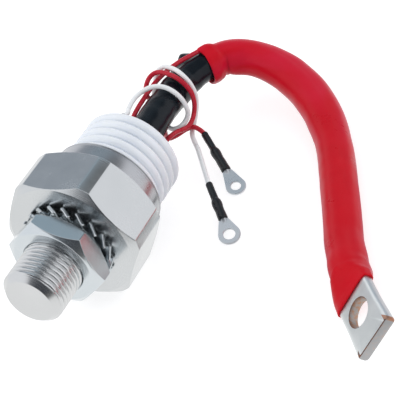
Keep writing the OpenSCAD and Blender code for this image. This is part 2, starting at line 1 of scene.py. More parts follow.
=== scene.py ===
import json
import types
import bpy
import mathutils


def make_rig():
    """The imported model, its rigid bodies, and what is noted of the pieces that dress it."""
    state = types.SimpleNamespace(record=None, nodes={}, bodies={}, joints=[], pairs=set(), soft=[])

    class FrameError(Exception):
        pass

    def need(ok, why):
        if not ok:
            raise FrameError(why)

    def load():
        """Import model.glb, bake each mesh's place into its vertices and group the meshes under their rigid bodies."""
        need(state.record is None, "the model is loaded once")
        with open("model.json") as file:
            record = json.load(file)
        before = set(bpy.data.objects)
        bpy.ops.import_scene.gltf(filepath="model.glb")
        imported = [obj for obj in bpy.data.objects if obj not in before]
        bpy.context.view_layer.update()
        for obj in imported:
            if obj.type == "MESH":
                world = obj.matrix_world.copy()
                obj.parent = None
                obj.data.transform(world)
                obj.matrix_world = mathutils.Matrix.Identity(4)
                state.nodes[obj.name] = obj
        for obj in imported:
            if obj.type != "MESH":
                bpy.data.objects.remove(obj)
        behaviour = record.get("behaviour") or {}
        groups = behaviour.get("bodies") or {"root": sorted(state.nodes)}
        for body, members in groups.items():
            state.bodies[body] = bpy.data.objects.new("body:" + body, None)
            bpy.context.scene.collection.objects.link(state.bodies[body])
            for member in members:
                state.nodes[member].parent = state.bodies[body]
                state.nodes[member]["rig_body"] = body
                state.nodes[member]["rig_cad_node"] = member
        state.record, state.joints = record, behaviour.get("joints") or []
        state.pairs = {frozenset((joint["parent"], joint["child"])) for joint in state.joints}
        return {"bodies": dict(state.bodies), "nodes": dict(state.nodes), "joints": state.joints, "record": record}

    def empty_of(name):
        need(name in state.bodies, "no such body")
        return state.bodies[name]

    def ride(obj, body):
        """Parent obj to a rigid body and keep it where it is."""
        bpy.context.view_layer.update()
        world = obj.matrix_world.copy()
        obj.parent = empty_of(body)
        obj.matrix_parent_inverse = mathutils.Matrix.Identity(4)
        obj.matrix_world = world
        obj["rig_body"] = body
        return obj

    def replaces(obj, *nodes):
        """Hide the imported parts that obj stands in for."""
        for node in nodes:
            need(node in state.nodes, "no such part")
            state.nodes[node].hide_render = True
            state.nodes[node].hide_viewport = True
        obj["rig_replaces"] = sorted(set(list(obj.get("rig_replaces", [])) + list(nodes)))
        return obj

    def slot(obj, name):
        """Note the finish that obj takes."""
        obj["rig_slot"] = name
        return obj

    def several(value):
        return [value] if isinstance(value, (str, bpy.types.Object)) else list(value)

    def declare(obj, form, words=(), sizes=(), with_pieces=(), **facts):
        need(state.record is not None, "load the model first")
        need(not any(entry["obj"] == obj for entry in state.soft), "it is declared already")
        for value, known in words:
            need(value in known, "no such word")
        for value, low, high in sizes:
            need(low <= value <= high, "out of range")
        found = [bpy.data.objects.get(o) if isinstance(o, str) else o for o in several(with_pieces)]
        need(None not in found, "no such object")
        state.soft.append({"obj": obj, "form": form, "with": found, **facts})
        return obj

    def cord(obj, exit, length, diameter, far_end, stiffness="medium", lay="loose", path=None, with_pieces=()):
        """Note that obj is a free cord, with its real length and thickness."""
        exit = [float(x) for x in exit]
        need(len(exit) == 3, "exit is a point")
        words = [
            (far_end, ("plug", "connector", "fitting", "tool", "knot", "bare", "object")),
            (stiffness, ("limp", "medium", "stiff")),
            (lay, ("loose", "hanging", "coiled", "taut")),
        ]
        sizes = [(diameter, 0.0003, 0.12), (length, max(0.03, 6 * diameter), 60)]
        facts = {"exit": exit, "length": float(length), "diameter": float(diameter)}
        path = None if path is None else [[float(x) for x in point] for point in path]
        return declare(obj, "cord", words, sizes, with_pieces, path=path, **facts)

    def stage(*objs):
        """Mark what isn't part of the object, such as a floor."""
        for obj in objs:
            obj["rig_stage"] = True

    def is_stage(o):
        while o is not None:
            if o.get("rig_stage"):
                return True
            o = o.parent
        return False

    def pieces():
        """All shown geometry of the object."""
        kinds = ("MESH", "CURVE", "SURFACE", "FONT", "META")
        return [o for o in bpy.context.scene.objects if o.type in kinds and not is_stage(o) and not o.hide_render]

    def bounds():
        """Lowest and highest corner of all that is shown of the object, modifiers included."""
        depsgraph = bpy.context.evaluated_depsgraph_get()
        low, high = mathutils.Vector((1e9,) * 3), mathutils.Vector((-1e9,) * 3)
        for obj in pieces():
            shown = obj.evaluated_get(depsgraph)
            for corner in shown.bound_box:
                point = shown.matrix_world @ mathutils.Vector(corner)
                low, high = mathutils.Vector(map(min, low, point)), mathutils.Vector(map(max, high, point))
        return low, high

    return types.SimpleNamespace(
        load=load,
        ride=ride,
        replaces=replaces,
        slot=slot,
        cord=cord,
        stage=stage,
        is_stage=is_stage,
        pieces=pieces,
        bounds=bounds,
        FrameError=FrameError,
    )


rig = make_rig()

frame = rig.load()

import json
import math
import bmesh
import bpy
from mathutils import Matrix, Vector, noise

CAD_BOX = [list(c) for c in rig.bounds()]
MM, TAU = 0.001, 2 * math.pi
NODES = frame["nodes"]
scene = bpy.context.scene
scene.view_settings.view_transform = "Standard"

# -------------------- camera, fitted to the outlines
SENSOR, PICTURE_PX, FOCAL_PX = 36, 400, 1394.6
CAMERA_AT = Vector((234.44, -236.88, 245.16))
CAMERA_RIGHT, CAMERA_UP = Vector((0.8685, 0.4102, -0.2783)), Vector((-0.0693, 0.6564, 0.7512))


def make_camera():
    data = bpy.data.cameras.new("camera")
    data.sensor_width = SENSOR
    data.lens = FOCAL_PX / PICTURE_PX * SENSOR
    data.clip_start, data.clip_end = 0.01, 20
    cam = bpy.data.objects.new("camera", data)
    back = CAMERA_RIGHT.cross(CAMERA_UP).normalized()
    up = back.cross(CAMERA_RIGHT).normalized()
    turn = Matrix((CAMERA_RIGHT, up, back)).transposed().to_4x4()
    cam.matrix_world = Matrix.Translation(CAMERA_AT * MM) @ turn
    scene.collection.objects.link(cam)
    scene.camera = cam


make_camera()

# -------------------- sizes in mm, angles in degrees
HEX_AF, HEX_H, CORNER_R, FACE_R, HEX_CHAMFER = 41.0, 17.0, 22.65, 20.3, 32
STUD_R, STUD_LEN, TIP_LEN, TIP_R = 9.525, 25.0, 1.9, 7.6
PITCH, THREAD_DEPTH, THREAD_IN = 1.5875, 0.76, 0.6
PEDESTAL_R, PEDESTAL_TOP = 9.7, 19.5
NUT_AF, NUT_H, NUT_TURN, NUT_FACE_R, NUT_CORNER_R, NUT_SLOPE = 27.4, 7.5, 39.6, 12.9, 15.9, 0.7
WASHER_SET, WASHER_T, TOOTH_W, TOOTH_ROOT_W = 3.336, 1.0, 4.3, 3.74
TEETH, TWIST, FIRST_TOOTH, TOOTH_RING_R, TOOTH_TIP_R = 19, 36.0, 4.4, 11.875, 14.575
RING_R, RING_TOP = 18.0, 24.4
RIBS, RIB_PITCH, RIB_R, RIB_ROUND, GROOVE_R, CERAMIC_BORE_R = 5, 3.55, 16.3, 1.55, 14.3, 11.0
CERAMIC_TOP = RING_TOP + RIBS * RIB_PITCH + 1.4
CAP_R, CAP_BORE_R, TUBE_R, TUBE_BORE_R, GATE_TUBE_R, GATE_TUBE_BORE_R = 12.5, 4.9, 5.0, 4.3, 1.3, 0.9
CAP_TOP = CERAMIC_TOP + 1.0
TUBE_TOP = CAP_TOP + 2.9
GATE_TOP = CAP_TOP + 4.4
GATE_OUT, GATE_ANGLE = 9.4, 115
GATE_X, GATE_Z = (GATE_OUT * f(math.radians(GATE_ANGLE)) for f in (math.cos, math.sin))
BLACK_D, RED_D, THIN_D, PLATE_T = 10.8, 11.7, 1.6, 0.8
BARREL_BACK, MOUTH = 19.0, 7.0


def place(at, turn):
    """A frame at a terminal's hole: x towards its nose, turned by heading, dip and roll."""
    h, dip, roll = (math.radians(a) for a in turn)
    spin = Matrix.Rotation(h, 4, "Z") @ Matrix.Rotation(dip, 4, "Y") @ Matrix.Rotation(roll, 4, "X")
    return Matrix.Translation(at) @ spin


LUG = place(Vector((90.6, -1.7, -14.3)), (-54, 1, 46))
GATE = place(Vector((34.8, 28.4, -19)), (-51, 18, 0))
CATHODE = place(Vector((27.3, 50.2, -19)), (-44, 17, 0))

# routes in metres: the main lead's as in the CAD model, the thin leads' up to about 1.1 mm beside them
BLACK_ROUTE = [
    (0, .0475, 0), (0, .054, 0), (-.0005, .061, -.0003), (-.0008, .068, -.0008),
    (-.0008, .075, -.0014), (-.0003, .0815, -.002), (.0012, .0878, -.0027), (.0026, .0908, -.0031)]
RED_ROUTE = [
    (.0026, .0908, -.0031), (.0044, .0934, -.0034), (.0092, .0978, -.0042), (.0152, .1001, -.0052),
    (.0218, .1, -.0066), (.028, .0978, -.0083), (.034, .0941, -.0099), (.0396, .0892, -.0113),
    (.0449, .0835, -.0125), (.0499, .077, -.0136), (.0545, .07, -.0143), (.0585, .0627, -.0146),
    (.0619, .0553, -.0146), (.0651, .0478, -.0146), (.0684, .0403, -.0146), (.0717, .0328, -.0146),
    (.0748, .0255, -.0146), (.0774, .0189, -.0143)]
GATE_ROUTE = [
    (-.0044, .0518, .0077), (-.0058, .0541, .0068), (-.0066, .0565, .0064), (-.0069, .0591, .0065),
    (-.0066, .0618, .0066), (-.0054, .0639, .0069), (-.0033, .0653, .0074), (-.001, .0664, .0072),
    (.0014, .0671, .0063), (.0039, .0672, .0047), (.0059, .0672, .002), (.0066, .0673, -.0012),
    (.0064, .0672, -.0042), (.0054, .0658, -.0063), (.0042, .0638, -.007), (.0022, .0628, -.0073),
    (-.0008, .0642, -.0076), (-.0046, .067, -.0065), (-.0069, .0692, -.0041), (-.0073, .071, -.001),
    (-.0076, .0736, .0012), (-.0078, .076, .0032), (-.0068, .0778, .0052), (-.0044, .0783, .0062),
    (-.0012, .0773, .0064), (.0021, .0759, .006), (.0044, .0752, .0041), (.0059, .0748, .0014),
    (.0067, .0742, -.0016), (.0066, .0733, -.0045), (.0063, .0717, -.0072), (.006, .0697, -.0093),
    (.0059, .0674, -.0108), (.0067, .0651, -.0114), (.0084, .0627, -.0114), (.0106, .06, -.0112),
    (.013, .057, -.0108)]
CATHODE_ROUTE = [
    (.0018, .0921, .0031), (.0002, .089, .0035), (-.0022, .0849, .0038), (-.0042, .0802, .004),
    (-.0055, .0746, .0041), (-.0056, .0692, .0044), (-.0054, .064, .0045), (-.0055, .0592, .0041),
    (-.0057, .0548, .003), (-.0064, .0516, -.0005), (-.005, .0507, -.0044), (-.0012, .0511, -.0067),
    (.0029, .0531, -.0061), (.0049, .0557, -.0048), (.0056, .0588, -.0053), (.0061, .0617, -.0065),
    (.0067, .0644, -.0073), (.007, .0674, -.007), (.0069, .07, -.0057), (.007, .0717, -.0031),
    (.0068, .0723, .0002), (.0054, .0728, .0029), (.0029, .0735, .0049), (-.0003, .0742, .0061),
    (-.0036, .0746, .0067), (-.006, .0742, .0066), (-.0076, .0725, .0058), (-.0084, .0705, .004),
    (-.0091, .07, .0006), (-.0088, .0714, -.0038), (-.0065, .07, -.007), (-.0046, .0669, -.0104),
    (-.0021, .0632, -.0107), (.0006, .061, -.0099), (.0032, .0617, -.009), (.0052, .0649, -.009),
    (.007, .0666, -.0092), (.0089, .0668, -.0103)]


# -------------------- numbers and outlines
def smooth(a, b, x):
    """0 before a, 1 after b, and an eased step between them."""
    t = min(1, max(0, (x - a) / (b - a)))
    return t * t * (3 - 2 * t)


def soft_min(a, b, k):
    h = max(k - abs(a - b), 0) / k
    return min(a, b) - h * h * k / 4


def hump(x, middle, width):
    return math.exp(-((x - middle) / width) ** 2)


def apart(a, other):
    """How far an angle is past another one, within half a turn each way."""
    return (a - other + math.pi) % TAU - math.pi


def turns(n):
    """The angles of n points round a circle."""
    return [TAU * k / n for k in range(n)]


def squareness(c, s, power):
    """What a point of a circle is multiplied by to lie on a squarer outline; 2 leaves it round."""
    return (abs(c) ** power + abs(s) ** power) ** (-1 / power)


def about_stud(r, y, a):
    return r * math.cos(a), y, r * math.sin(a)


def oval(frame_at, x, half_y, half_z, n):
    """A ring across a terminal's x axis."""
    return [tuple(frame_at @ Vector((x, half_y * math.cos(a), half_z * math.sin(a)))) for a in turns(n)]


def back_of(frame_at, *distances):
    """Points behind a terminal's hole, on its x axis."""
    return [frame_at @ Vector((-x, 0, 0)) for x in distances]


def oblong(x0, x1, y0, y1):
    return [(x0, y0), (x1, y0), (x1, y1), (x0, y1)]


def rounded(points, radii, n=3):
    """A closed profile with its corners rounded, each by its own radius."""
    out = []
    for i, (p, rad) in enumerate(zip(points, radii)):
        p = Vector(p)
        if rad <= 0:
            out.append(tuple(p))
            continue
        a, b = Vector(points[i - 1]) - p, Vector(points[(i + 1) % len(points)]) - p
        t = min(rad, a.length * 0.45, b.length * 0.45)
        start, end = p + a.normalized() * t, p + b.normalized() * t
        for k in range(n + 1):
            u = k / n
            out.append(tuple(start * (1 - u) ** 2 + p * 2 * u * (1 - u) + end * u * u))
    return out


def spline(points, step):
    """A smooth curve in mm through points in mm, sampled every step or so."""
    pts = [Vector(p) for p in points]
    ends = [pts[0] * 2 - pts[1]] + pts + [pts[-1] * 2 - pts[-2]]
    out = []
    for i in range(1, len(ends) - 2):
        p0, p1, p2, p3 = ends[i - 1:i + 3]
        t1 = math.sqrt((p1 - p0).length)
        t2 = t1 + math.sqrt((p2 - p1).length)
        t3 = t2 + math.sqrt((p3 - p2).length)
        n = max(2, round((p2 - p1).length / step))
        for k in range(n):
            t = t1 + (t2 - t1) * k / n
            a1 = p0 * ((t1 - t) / t1) + p1 * (t / t1)
            a2 = p1 * ((t2 - t) / (t2 - t1)) + p2 * ((t - t1) / (t2 - t1))
            a3 = p2 * ((t3 - t) / (t3 - t2)) + p3 * ((t - t2) / (t3 - t2))
            b1 = a1 * ((t2 - t) / t2) + a2 * (t / t2)
            b2 = a2 * ((t3 - t) / (t3 - t1)) + a3 * ((t - t1) / (t3 - t1))
            out.append(b1 * ((t2 - t) / (t2 - t1)) + b2 * ((t - t1) / (t2 - t1)))
    out.append(pts[-1])
    return out


def length_of(line):
    return sum((b - a).length for a, b in zip(line, line[1:]))


def direction(line, i):
    return line[min(i + 1, len(line) - 1)] - line[max(i - 1, 0)]


def carried(line):
    """Position, direction, up, side and length so far along a line, turning as little as it can."""
    frames, u, travelled = [], Vector((0, 0, 1)), 0
    for i, p in enumerate(line):
        d = direction(line, i).normalized()
        u = (u - d * u.dot(d)).normalized()
        if i:
            travelled += (p - line[i - 1]).length
        frames.append((p, d, u, d.cross(u), travelled))
    return frames


def tube_rings(frames, radius, sides):
    """radius(s, angle) in mm gives the outline at each frame."""
    return [[tuple(p + (u * math.cos(a) + w * math.sin(a)) * radius(s, a)) for a in turns(sides)]
            for p, d, u, w, s in frames]


def hoops(frames, steps, sides):
    """Plain circles at some of the frames, each with its own radius."""
    return [tube_rings([frames[i]], lambda s, a: r, sides)[0] for i, r in steps]


def mm(points):
    return [Vector(p) / MM for p in points]


def path_of(line):
    """Every second point of a line, and its last one, in metres."""
    return [tuple(p * MM) for p in line[::2]] + ([tuple(line[-1] * MM)] if (len(line) - 1) % 2 else [])


class Build:
    """Collects several closed shells, in mm, into the mesh of one piece."""

    def __init__(self):
        self.verts, self.faces, self.mats = [], [], []

    def grid(self, rings, closed_rings, mat=0):
        """Rings are closed loops of points; the last joins the first, or else both ends get a cap."""
        start, n, m = len(self.verts), len(rings[0]), len(rings)
        for ring in rings:
            self.verts.extend(ring)

        def add_face(face, i, k):
            self.faces.append(face)
            self.mats.append(mat(i, k) if callable(mat) else mat)

        for i in range(m if closed_rings else m - 1):
            a, b = start + i * n, start + (i + 1) % m * n
            for k in range(n):
                k2 = (k + 1) % n
                add_face((a + k, a + k2, b + k2, b + k), i, k)
        if not closed_rings:
            last = start + (m - 1) * n
            add_face(tuple(start + k for k in reversed(range(n))), 0, 0)
            add_face(tuple(last + k for k in range(n)), m - 1, 0)

    def lathe(self, profile, n=128, centre=(0, 0), wobble=None):
        """A closed profile of (r, y) turned about the stud's axis, or about a line beside it."""
        rings = []
        for a in turns(n):
            ring = [(wobble(r, y, a) if wobble else r, y) for r, y in profile]
            rings.append([(centre[0] + r * math.cos(a), y, centre[1] + r * math.sin(a)) for r, y in ring])
        self.grid(rings, True)

    def piece(self, node, materials, sharp, slot):
        """The object that takes a CAD node's place, named after it; edges over the angle stay sharp."""
        name = node + "_piece"
        mesh = bpy.data.meshes.new(name)
        mesh.from_pydata([Vector(p) * MM for p in self.verts], [], self.faces)
        mesh.validate()
        for m in materials:
            mesh.materials.append(m)
        mesh.polygons.foreach_set("material_index", self.mats)
        bm = bmesh.new()
        bm.from_mesh(mesh)
        bmesh.ops.remove_doubles(bm, verts=bm.verts, dist=1e-7)
        bmesh.ops.recalc_face_normals(bm, faces=bm.faces)
        bm.to_mesh(mesh)
        bm.free()
        mesh.polygons.foreach_set("use_smooth", [True] * len(mesh.polygons))
        mesh.set_sharp_from_angle(angle=math.radians(sharp))
        obj = bpy.data.objects.new(name, mesh)
        scene.collection.objects.link(obj)
        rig.ride(obj, "root")
        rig.slot(obj, slot)
        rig.replaces(obj, node)
        return obj


# -------------------- shader nodes
def set_inputs(node, inputs):
    """Sets inputs by name, with underscores for the spaces."""
    for name, value in inputs.items():
        node.inputs[name.replace("_", " ")].default_value = value


def add(tree, kind, **inputs):
    node = tree.nodes.new("ShaderNode" + kind)
    set_inputs(node, inputs)
    return node


def link(tree, a, b):
    tree.links.new(a, b)


def operate(tree, kind, operation, a, b=None):
    """A Math or VectorMath node, on sockets or plain values."""
    node = add(tree, kind)
    node.operation = operation
    for i, v in enumerate((a, b)):
        if isinstance(v, bpy.types.NodeSocket):
            link(tree, v, node.inputs[i])
        elif v is not None:
            node.inputs[i].default_value = v
    return node.outputs["Value"] if operation in ("LENGTH", "DOT_PRODUCT") else node.outputs[0]


def coords(tree, scale=(1, 1, 1)):
    mapped = add(tree, "Mapping", Scale=scale)
    link(tree, add(tree, "TexCoord").outputs["Object"], mapped.inputs["Vector"])
    return mapped.outputs["Vector"]


def noise_tex(tree, vector, scale, detail, rough=0.6):
    n = add(tree, "TexNoise", Scale=scale, Detail=detail, Roughness=rough)
    link(tree, vector, n.inputs["Vector"])
    return n.outputs["Fac"]


def ramp(tree, fac, shade, colour, low=0.3, high=0.7):
    """From one colour to the other as the factor rises."""
    r = add(tree, "ValToRGB")
    for stop, position, tone in zip(r.color_ramp.elements, (low, high), (shade, colour)):
        stop.position, stop.color = position, (*tone, 1)
    link(tree, fac, r.inputs["Fac"])
    return r.outputs["Color"]


def ramp_value(tree, fac, low, high, a=0.3, b=0.7):
    """From low to high as the factor goes from a to b."""
    r = add(tree, "MapRange", From_Min=a, From_Max=b, To_Min=low, To_Max=high)
    link(tree, fac, r.inputs["Value"])
    return r.outputs["Result"]


def bump(tree, shader, height, distance):
    b = add(tree, "Bump", Distance=distance, Strength=1.0)
    link(tree, height, b.inputs["Height"])
    link(tree, b.outputs["Normal"], shader.inputs["Normal"])


def towards(tree, vector, axis, low, high):
    """1 where a direction is close to the axis, 0 where it is far from it, by their dot product."""
    soft = add(tree, "MapRange", From_Min=low, From_Max=high)
    soft.interpolation_type = "SMOOTHSTEP"
    dot = operate(tree, "VectorMath", "DOT_PRODUCT", vector, Vector(axis).normalized())
    link(tree, dot, soft.inputs["Value"])
    return soft.outputs["Result"]


def mixed(tree, factor, a, b):
    """One colour turning into another, each a colour or a socket."""
    mix = add(tree, "Mix")
    mix.data_type = "RGBA"
    link(tree, factor, mix.inputs["Factor"])
    for socket, colour in ((mix.inputs[6], a), (mix.inputs[7], b)):
        if isinstance(colour, tuple):
            socket.default_value = (*colour, 1)
        else:
            link(tree, colour, socket)
    return mix.outputs[2]


def mix_shader(tree, factor, a, b):
    mix = add(tree, "MixShader")
    for value, socket in zip((factor, a.outputs[0], b.outputs[0]), mix.inputs):
        link(tree, value, socket)
    return mix


def seen_directly(tree, path):
    """1 for rays from the camera, also through something clear."""
    camera, clear = path.outputs["Is Camera Ray"], path.outputs["Is Transmission Ray"]
    return operate(tree, "Math", "MAXIMUM", camera, clear)


# -------------------- materials
def principled(name, colour, metallic, rough, **inputs):
    m = bpy.data.materials.new(name)
    m.use_nodes = True
    shader = m.node_tree.nodes["Principled BSDF"]
    set_inputs(shader, {"Base Color": (*colour, 1), "Metallic": metallic, "Roughness": rough, **inputs})
    return m, m.node_tree, shader


def turned_vector(tree):
    """Radius from the stud's axis as a coordinate, so that noise in it makes turning rings."""
    sep, flat, out = add(tree, "SeparateXYZ"), add(tree, "CombineXYZ"), add(tree, "CombineXYZ")
    link(tree, add(tree, "TexCoord").outputs["Object"], sep.inputs[0])
    link(tree, sep.outputs["X"], flat.inputs["X"])
    link(tree, sep.outputs["Z"], flat.inputs["Y"])
    link(tree, operate(tree, "VectorMath", "LENGTH", flat.outputs[0]), out.inputs["X"])
    link(tree, sep.outputs["Y"], out.inputs["Y"])
    return out.outputs[0]


def metal(name, colour, dark, rough, turned, scale, depth, patches=60):
    """Plate with cloudy patches and fine lines, which run in rings on a turned piece."""
    m, t, s = principled(name, colour, 1.0, rough)
    cloud = noise_tex(t, coords(t), patches, 5)
    link(t, ramp(t, cloud, dark, colour), s.inputs["Base Color"])
    lines = noise_tex(t, turned_vector(t) if turned else coords(t, (1, 6, 6)), scale, 3, 0.7)
    uneven = operate(t, "Math", "ADD", ramp_value(t, cloud, -0.05, 0.06),
                     ramp_value(t, lines, rough - 0.03, rough + 0.05))
    link(t, uneven, s.inputs["Roughness"])
    bump(t, s, lines, depth)
    return m


def ceramic():
    """White glaze that the light enters a little."""
    m, t, s = principled("ceramic_glaze", (0.84, 0.88, 0.93), 0, 0.16, IOR=1.55, Subsurface_Weight=0.30,
                         Subsurface_Radius=(0.9, 0.9, 1.0), Subsurface_Scale=0.0018)
    cloud = noise_tex(t, coords(t), 90, 4)
    link(t, ramp(t, cloud, (0.81, 0.85, 0.91), (0.86, 0.895, 0.94)), s.inputs["Base Color"])
    link(t, ramp_value(t, cloud, 0.12, 0.22), s.inputs["Roughness"])
    bump(t, s, noise_tex(t, coords(t), 260, 3), 2.5e-5)
    return m


def plastic(name, colour, shade, rough, cloud_scale, grain, depth, shine=0.5, sheen=0.0, tint=(1, 1, 1)):
    m, t, s = principled(name, colour, 0, rough, Specular_IOR_Level=shine)
    if sheen:
        set_inputs(s, {"Sheen Weight": sheen, "Sheen Roughness": 0.35, "Sheen Tint": (*tint, 1)})
    cloud = noise_tex(t, coords(t), cloud_scale, 5)
    link(t, ramp(t, cloud, shade, colour), s.inputs["Base Color"])
    link(t, ramp_value(t, cloud, rough - 0.05, rough + 0.08), s.inputs["Roughness"])
    bump(t, s, noise_tex(t, coords(t), grain, 4), depth)
    return m


def copper(name, colour, grey, rough, share):
    """Copper with patches of tin smeared over it."""
    m, t, s = principled(name, colour, 1.0, rough)
    patch = noise_tex(t, coords(t), 700, 5, 0.65)
    link(t, ramp(t, patch, colour, grey, share - 0.06, share + 0.06), s.inputs["Base Color"])
    link(t, ramp_value(t, patch, rough - 0.05, rough + 0.12), s.inputs["Roughness"])
    bump(t, s, noise_tex(t, coords(t), 2500, 3), 1.5e-5)
    return m


def painted_bend_highlight(material, colour, low, high):
    """A painted highlight: the sleeve's colour turns a little paler and pinker in long streaks over its bend, growing
    between two distances along Y.
    """
    tree = material.node_tree
    base = tree.nodes["Principled BSDF"].inputs["Base Color"]
    sep = add(tree, "SeparateXYZ")
    link(tree, add(tree, "TexCoord").outputs["Object"], sep.inputs[0])
    # painted highlight: how far along Y the bend's paler colour has grown
    mapped = ramp_value(tree, sep.outputs["Y"], 0, 1, low, high)
    long_noise = noise_tex(tree, coords(tree, (0.30, 0.30, 2.2)), 80, 2, 0.4)
    highlight_streaks = ramp_value(tree, long_noise, 0.15, 1.25, 0.38, 0.62)
    share = operate(tree, "Math", "MULTIPLY", mapped, highlight_streaks)
    link(tree, mixed(tree, share, base.links[0].from_socket, colour), base)


# name, colour, colour of its darker patches, roughness, turned or not, scale and depth of its lines
NICKEL = metal("nickel_plate", (0.68, 0.70, 0.71), (0.63, 0.65, 0.66), 0.23, True, 5000, 2e-6)
TIP_NICKEL = metal("nickel_thread", (0.715, 0.725, 0.73), (0.66, 0.67, 0.675), 0.21, True, 3000, 2e-6)
ZINC = metal("zinc_plate", (0.72, 0.76, 0.78), (0.65, 0.70, 0.73), 0.19, True, 4000, 2e-6)
RING_METAL = metal("ring_metal", (0.54, 0.55, 0.575), (0.48, 0.49, 0.51), 0.26, True, 6000, 4e-6)
CAP_METAL = metal("cap_metal", (0.64, 0.64, 0.64), (0.56, 0.56, 0.57), 0.28, True, 5000, 3e-6)
TIN = metal("tin_plate", (0.84, 0.87, 0.87), (0.78, 0.81, 0.815), 0.34, False, 900, 6e-6, 120)
TERMINAL_TIN = metal("terminal_tin", (0.65, 0.68, 0.705), (0.60, 0.63, 0.665), 0.30, False, 1500, 1e-6, 300)
HIDDEN_METAL = metal("inner_metal", (0.42, 0.43, 0.45), (0.34, 0.35, 0.37), 0.35, True, 5000, 3e-6)
SILICON = metal("silicon", (0.16, 0.17, 0.20), (0.12, 0.13, 0.15), 0.12, True, 3000, 1e-6)
CERAMIC = ceramic()
# name, colour, shade, roughness, scale of its clouds and of its grain, depth, shine, sheen and its tint
RED_SLEEVE = plastic("red_sleeve_plastic", (0.60, 0.002, 0.011), (0.54, 0.0015, 0.009), 0.30, 90, 400, 1.2e-5,
                     0.13, 0.17, (1, 0.42, 0.75))
BLACK_SLEEVE = plastic("black_sleeve_plastic", (0.005, 0.009, 0.014), (0.003, 0.006, 0.010), 0.22, 120, 400,
                       1.2e-5, 0.22, 0.06)
BLACK_SHRINK = plastic("black_shrink_plastic", (0.010, 0.014, 0.017), (0.006, 0.009, 0.012), 0.27, 300, 1500,
                       1e-5, 0.45)
WHITE_WIRE = plastic("white_wire_plastic", (0.90, 0.92, 0.93), (0.86, 0.88, 0.89), 0.28, 500, 2000, 6e-6, 0.3)
RED_WIRE = plastic("red_wire_plastic", (0.54, 0.014, 0.036), (0.47, 0.010, 0.028), 0.26, 500, 2000, 6e-6,
                   0.35, 0.10, (1, 0.5, 0.7))
LAMINATE = plastic("inner_laminate", (0.60, 0.50, 0.33), (0.50, 0.42, 0.27), 0.5, 200, 1500, 2e-5)
# name, copper's colour, tin's colour, roughness, share of copper
CUT_COPPER = copper("cut_copper", (0.50, 0.30, 0.21), (0.46, 0.43, 0.41), 0.45, 0.50)
EDGE_COPPER = copper("edge_copper", (0.30, 0.15, 0.10), (0.16, 0.10, 0.09), 0.45, 0.50)
CUT_GREY = copper("cut_grey", (0.55, 0.48, 0.45), (0.51, 0.51, 0.515), 0.45, 0.42)
BARE_COPPER = copper("bare_copper", (0.60, 0.27, 0.17), (0.50, 0.30, 0.22), 0.42, 0.5)
INNER_COPPER = copper("inner_copper", (0.74, 0.36, 0.22), (0.66, 0.34, 0.22), 0.3, 0.5)
# a painted highlight on the red sleeve's bend, as paler, pinker streaks in its colour
painted_bend_highlight(RED_SLEEVE, (0.62, 0.012, 0.043), 0.060, 0.092)


# -------------------- cords
def black_lead():
    """Sleeve over the braid and the cap's tube, creased flat on its far half."""
    frames = carried(spline([(0, 45.0, 0)] + mm(BLACK_ROUTE), 0.5))
    bulge, flap, corner = (math.radians(a) for a in (-40, -57, -50))
    hollow, crease, sides = 2.36, 2.5, 64

    def radius(s, a):
        r = BLACK_D / 2 - 0.05
        # the first layer is thicker and ends in a small step
        r += 0.28 * (1 - smooth(24.5, 25.6, s)) * smooth(0, 3.5, s)
        # flats pressed into the second layer
        flat = smooth(32, 37, s) * (1 - 0.5 * smooth(44, 47, s))
        r -= flat * 0.55 * max(0, math.cos(2.5 * (a - 5.6))) ** 3
        r -= flat * 0.35 * max(0, math.cos(2.0 * (a - 1.2))) ** 4
        # long wrinkles and a few rings
        r += 0.05 * math.sin(3 * a + 0.23 * s) + 0.04 * math.sin(s * 1.15 + 2 * math.sin(a))
        r += 0.09 * noise.noise(Vector((math.cos(a) * 1.6, math.sin(a) * 1.6, s * 0.16)))
        # a bulge past the first layer's end, and a hollow along one side before it
        r += 0.6 * hump(s, 30.5, 4) * hump(apart(a, bulge), 0, 0.5)
        r -= 0.6 * smooth(5, 11, s) * (1 - smooth(23, 30, s)) * hump(a, hollow, 0.6)
        # a folded flap that stands out beside the red sleeve, its corner, and a crease opposite
        r += 1.7 * smooth(34, 37.5, s) * (1 - smooth(44.6, 46.2, s)) * hump(apart(a, flap), 0, 0.33)
        r += 2.3 * hump(s, 42.8, 2.0) * hump(apart(a, corner), 0, 0.28)
        r -= (0.3 + 0.5 * smooth(38, 46, s)) * smooth(30, 38, s) * hump(a, crease, 0.6)
        return r - 0.08 * (1 - smooth(0, 0.6, s))

    # the near mouth turns in over the cap's tube
    rings = hoops(frames, ((5, 5.04), (1, 5.04), (0, 5.15), (0, 5.3)), sides)
    b = Build()
    b.grid(rings + tube_rings(frames, radius, sides), False)
    return b.piece("black_sleeve", [BLACK_SLEEVE], 50, "black_sleeving")


# the red sleeve's half width, half thickness and squareness at some distances behind the lug's hole
SLEEVE_END = [(26, 5.8, 5.8, 2.0), (20, 5.85, 5.8, 2.0), (16, 6.1, 5.7, 2.0), (14.8, 6.4, 5.45, 2.1),
              (13.8, 6.7, 4.9, 2.2), (12.6, 7.1, 4.0, 2.5), (11.2, 7.5, 3.0, 3.0), (9.6, 7.65, 2.4, 3.8),
              (5.5, 7.65, 2.1, 5.0)]
# angles round it: its lower side, its upper side and the cuff's tongue
LOWER_SIDE, UPPER_SIDE, TONGUE_AT = 2.5, 5.6, 6.07


def sleeve_section(x):
    x = min(SLEEVE_END[0][0], max(SLEEVE_END[-1][0], x))
    for (x0, *v0), (x1, *v1) in zip(SLEEVE_END, SLEEVE_END[1:]):
        if x0 >= x >= x1:
            t = smooth(0, 1, (x0 - x) / (x0 - x1)) * 0.5 + (x0 - x) / (x0 - x1) * 0.5
            return [a + (b - a) * t for a, b in zip(v0, v1)]


def tongue(a):
    return hump(apart(a, TONGUE_AT), 0, 0.30)


